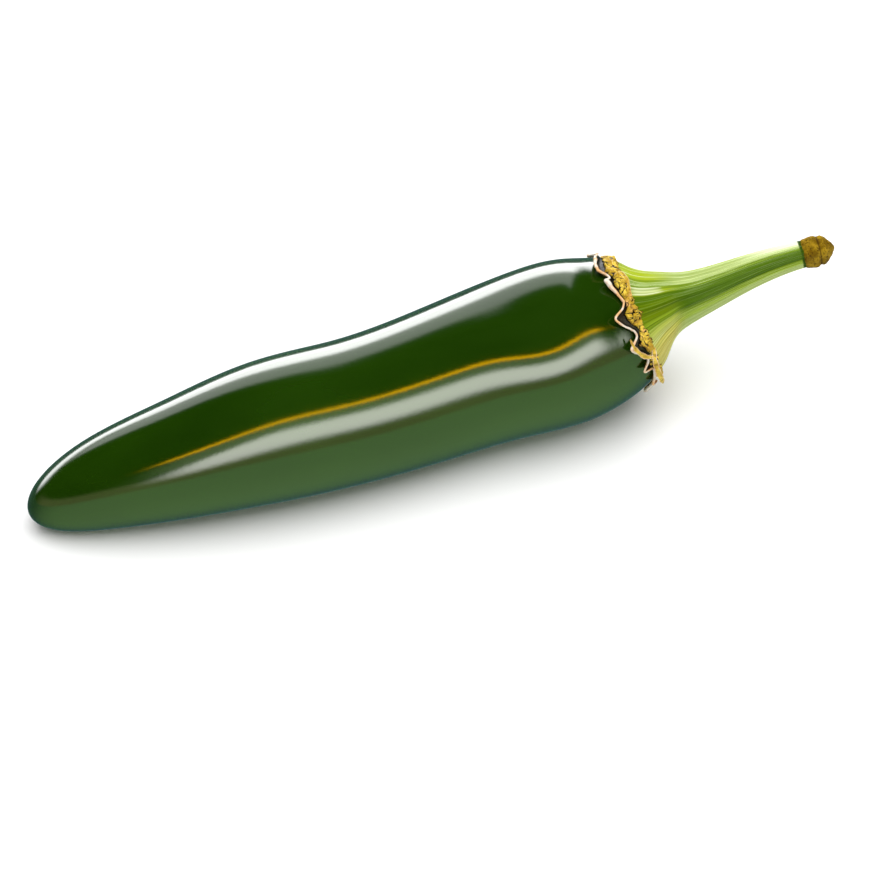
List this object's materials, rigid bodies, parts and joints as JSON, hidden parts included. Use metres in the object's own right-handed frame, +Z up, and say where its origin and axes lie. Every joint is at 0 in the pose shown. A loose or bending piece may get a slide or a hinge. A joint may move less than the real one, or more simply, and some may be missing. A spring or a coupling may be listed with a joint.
{
  "type": "chilli pepper",
  "caption": "Green chilli pepper lying on its side: a thick waxy pod that narrows to a blunt tip, a dried frilled calyx rim and a ribbed, flared stem with a corky end.",
  "frame": {"origin": "centre of the bounding box in X and Y, on the surface the pod lies on", "axes": "+Z up; +X along the chilli towards the stem, with the pod's tip at -X; +Y across it, so the side turned to the viewer is -Y"},
  "size_m": [0.131, 0.0284, 0.0266],
  "materials": {
    "pod": "waxy dark green skin, glossy",
    "calyx": "dried, papery, yellow to peach with dark cracks",
    "stem": "yellow-green, finely ribbed along its length, satin",
    "stem_end": "brown cork, matt"
  },
  "bodies": {
    "root": {"pod": "pod", "calyx": "calyx", "stem": "stem", "stem_end": "stem_end"}
  },
  "joints": []
}
